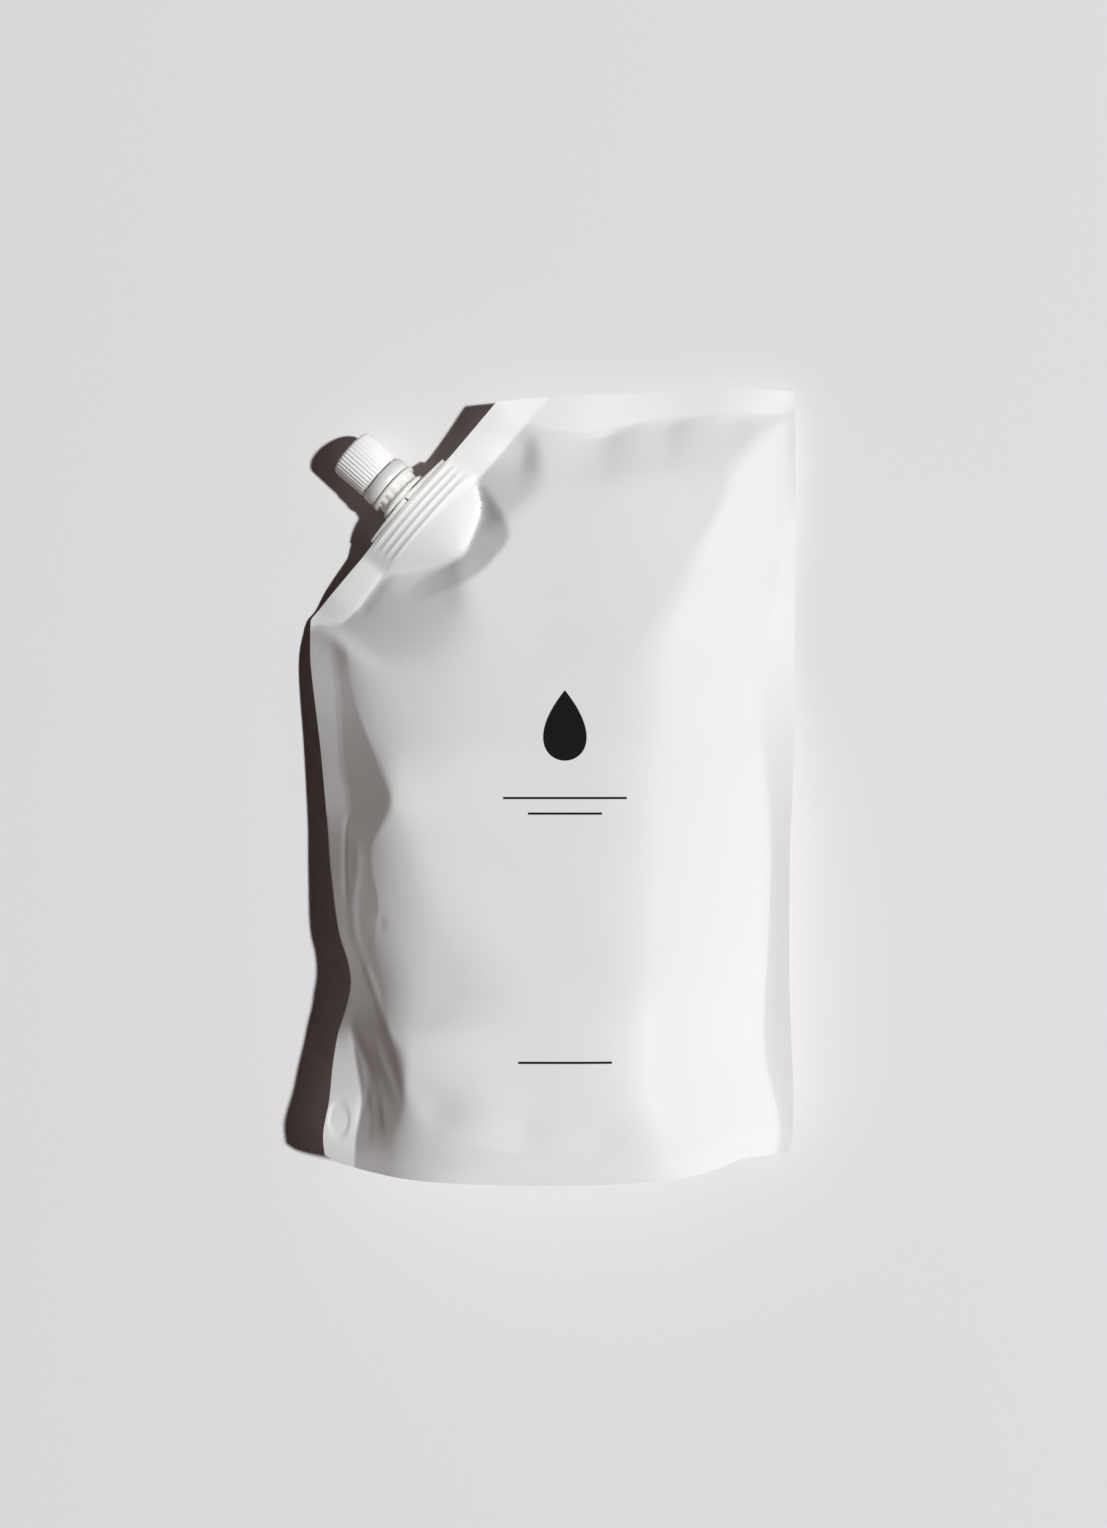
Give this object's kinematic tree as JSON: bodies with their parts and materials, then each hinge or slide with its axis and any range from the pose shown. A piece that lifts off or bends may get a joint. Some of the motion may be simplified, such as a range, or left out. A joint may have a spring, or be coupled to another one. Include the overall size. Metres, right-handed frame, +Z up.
{
  "type": "hand soap refill pouch",
  "caption": "Filled white film refill pouch lying on its back, its cut corner holding a moulded spout with a tamper band and a ribbed cap that screws off.",
  "frame": {"origin": "on the table, under the middle of the pouch's outline", "axes": "+Y from the bottom gusset to the top seal, +Z up out of the front panel, +X to the right seen from the front"},
  "size_m": [0.1622, 0.263, 0.044],
  "materials": {
    "film": "matt laminated film with a soft sheen",
    "spout_plastic": "milky natural polyethylene, satin gloss",
    "cap_plastic": "white moulded polyethylene, satin",
    "liner_foam": "matt foamed polyethylene"
  },
  "bodies": {
    "pack": {"pouch": "film", "spout": "spout_plastic", "tamper_band": "cap_plastic"},
    "liner": {"cap_liner": "liner_foam"},
    "screw_cap": {"cap": "cap_plastic"}
  },
  "joints": [
    {"name": "cap_lift", "type": "slide", "parent": "pack", "child": "liner", "axis": [-0.7496, 0.6598, -0.0523], "range_m": [0, 0.006]},
    {"name": "cap_turn", "type": "hinge", "parent": "liner", "child": "screw_cap", "pos_m": [-0.06173, 0.10617, 0.00951], "axis": [-0.7496, 0.6598, -0.0523], "range_deg": [0, 720]}
  ],
  "couplings": [
    {"joint": "cap_lift", "follows": "cap_turn", "m_per_rad": 0.00047746}
  ]
}
